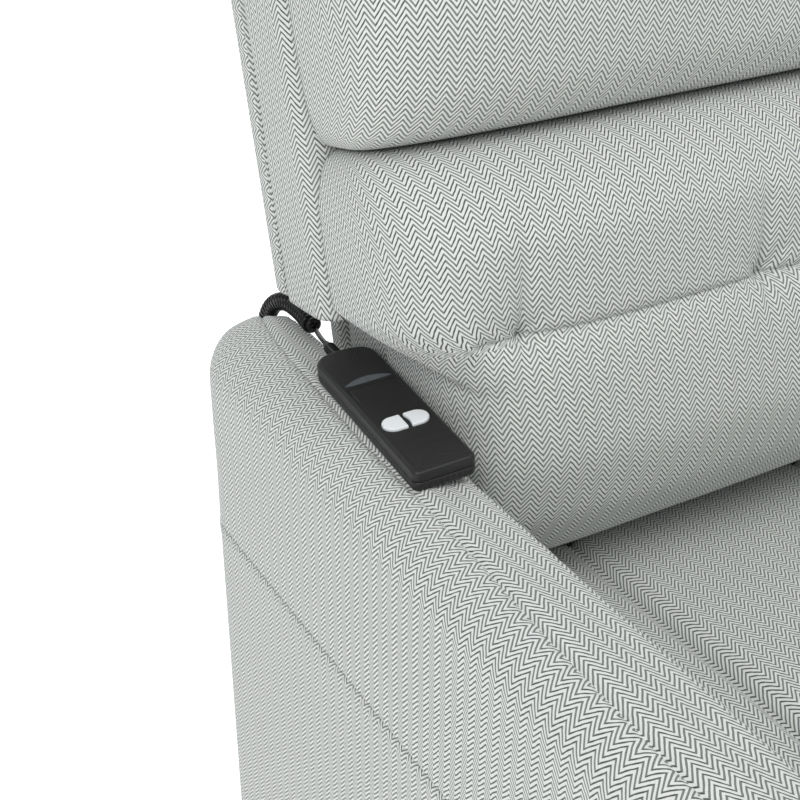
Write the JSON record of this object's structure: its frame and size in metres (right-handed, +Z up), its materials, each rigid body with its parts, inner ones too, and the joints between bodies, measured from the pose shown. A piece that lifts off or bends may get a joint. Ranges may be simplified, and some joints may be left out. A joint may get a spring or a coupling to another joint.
{
  "type": "lift recliner chair",
  "caption": "Fabric lift recliner with padded arms, tufted back, fold-out footrest, lifting linkage under the seat and a wired handset on a curly cord.",
  "frame": {"origin": "centre of the chair's outline, on the floor under its glides", "axes": "+Z up, the sitter faces -Y, the handset is on the arm at -X"},
  "size_m": [0.686, 0.7897, 1.0853],
  "materials": {
    "fabric": "woven herringbone in off-white and grey",
    "webbing": "woven elastic",
    "plywood": "bare birch plywood",
    "black_steel": "black powder coat",
    "zinc_steel": "zinc plated",
    "bright_metal": "drawn, satin",
    "black_plastic": "moulded, fine texture",
    "handset_plastic": "moulded, satin",
    "button_plastic": "moulded, satin white",
    "circuit_board": "solder mask",
    "cord_rubber": "glossy sheath"
  },
  "bodies": {
    "base": {"base_frame": "black_steel", "base_tower_left": "black_steel", "base_tower_right": "black_steel", "base_glides": "black_plastic", "base_pivot_pins": "zinc_steel", "power_supply": "black_plastic"},
    "lift_front": {"lift_front_link_left": "black_steel", "lift_front_link_right": "black_steel", "lift_front_tube": "black_steel", "lift_crank": "black_steel"},
    "lift_rear": {"lift_rear_link_left": "black_steel", "lift_rear_link_right": "black_steel", "lift_rear_tube": "black_steel"},
    "carriage": {"mechanism_plate_left": "black_steel", "mechanism_plate_right": "black_steel", "carriage_front_tube": "black_steel", "carriage_rear_tube": "black_steel", "actuator_gearbox": "black_plastic", "actuator_motor": "black_plastic", "actuator_tube": "bright_metal", "seat_frame": "plywood", "seat_webbing": "webbing", "seat_cushion": "fabric", "arm_frame_left": "plywood", "arm_frame_right": "plywood", "arm_pad_left": "fabric", "arm_pad_right": "fabric", "arm_side_panel_left": "fabric", "arm_side_panel_right": "fabric", "arm_spacer_left": "plywood", "arm_spacer_right": "plywood", "rear_rail": "plywood", "rear_panel": "fabric", "cord_gland": "black_plastic", "handset_lower_shell": "handset_plastic", "handset_upper_shell": "handset_plastic", "handset_circuit_board": "circuit_board", "handset_cord_boot": "cord_rubber", "handset_cord_lead": "cord_rubber", "handset_cord_coil": "cord_rubber", "handset_cord_tail": "cord_rubber"},
    "backrest": {"back_frame": "plywood", "back_webbing": "webbing", "back_rear_panel": "fabric", "back_border": "fabric", "back_brackets": "black_steel", "back_lumbar_pad": "fabric", "back_head_pad": "fabric"},
    "foot_front": {"footrest_front_links": "black_steel"},
    "foot_rear": {"footrest_rear_links": "black_steel"},
    "foot_upper": {"footrest_upper_links": "black_steel"},
    "foot_lower": {"footrest_lower_links": "black_steel"},
    "footrest": {"footrest_board": "plywood", "footrest_pad": "fabric", "footrest_brackets": "black_steel"},
    "actuator_rod": {"actuator_rod": "bright_metal"},
    "button_raise": {"button_raise": "button_plastic"},
    "button_recline": {"button_recline": "button_plastic"}
  },
  "joints": [
    {"name": "lift", "type": "hinge", "parent": "base", "child": "lift_front", "pos_m": [0, -0.34, 0.128], "axis": [1, 0, 0], "range_deg": [0, 59.3]},
    {"name": "carriage_tilt", "type": "hinge", "parent": "lift_front", "child": "carriage", "pos_m": [0, -0.131, 0.09], "axis": [1, 0, 0], "range_deg": [-36.2, 0]},
    {"name": "lift_rear", "type": "hinge", "parent": "base", "child": "lift_rear", "pos_m": [0, -0.25, 0.157], "axis": [1, 0, 0], "range_deg": [0, 48.8]},
    {"name": "recline", "type": "hinge", "parent": "carriage", "child": "backrest", "pos_m": [0, 0.215, 0.4], "axis": [-1, 0, 0], "range_deg": [0, 30]},
    {"name": "foot_front", "type": "hinge", "parent": "carriage", "child": "foot_front", "pos_m": [0, -0.318, 0.318], "axis": [-1, 0, 0], "range_deg": [0, 85]},
    {"name": "foot_rear", "type": "hinge", "parent": "carriage", "child": "foot_rear", "pos_m": [0, -0.25, 0.293], "axis": [-1, 0, 0], "range_deg": [0, 85]},
    {"name": "foot_upper", "type": "hinge", "parent": "foot_front", "child": "foot_upper", "pos_m": [0, -0.2785, 0.13215], "axis": [-1, 0, 0], "range_deg": [-85, 0]},
    {"name": "foot_lower", "type": "hinge", "parent": "foot_front", "child": "foot_lower", "pos_m": [0, -0.26602, 0.07346], "axis": [-1, 0, 0], "range_deg": [-85, 0]},
    {"name": "footrest", "type": "hinge", "parent": "foot_upper", "child": "footrest", "pos_m": [0, -0.3385, 0.21215], "axis": [-1, 0, 0], "range_deg": [0, 85]},
    {"name": "actuator_rod", "type": "slide", "parent": "carriage", "child": "actuator_rod", "axis": [0, -1, 0], "range_m": [0, 0.068]},
    {"name": "button_raise", "type": "slide", "parent": "carriage", "child": "button_raise", "axis": [0.0695, -0.0057, -0.9976], "range_m": [0, 0.0008], "stiffness_N_per_m": 400},
    {"name": "button_recline", "type": "slide", "parent": "carriage", "child": "button_recline", "axis": [0.0695, -0.0057, -0.9976], "range_m": [0, 0.0008], "stiffness_N_per_m": 400}
  ],
  "couplings": [
    {"joint": "carriage_tilt", "follows": "lift", "ratio": -0.6051},
    {"joint": "lift_rear", "follows": "lift", "ratio": 0.8199},
    {"joint": "actuator_rod", "follows": "lift", "m_per_rad": 0.065508},
    {"joint": "foot_front", "follows": "recline", "ratio": 2.8333},
    {"joint": "foot_rear", "follows": "recline", "ratio": 2.8333},
    {"joint": "foot_upper", "follows": "recline", "ratio": -2.8333},
    {"joint": "foot_lower", "follows": "recline", "ratio": -2.8333},
    {"joint": "footrest", "follows": "recline", "ratio": 2.8333}
  ]
}
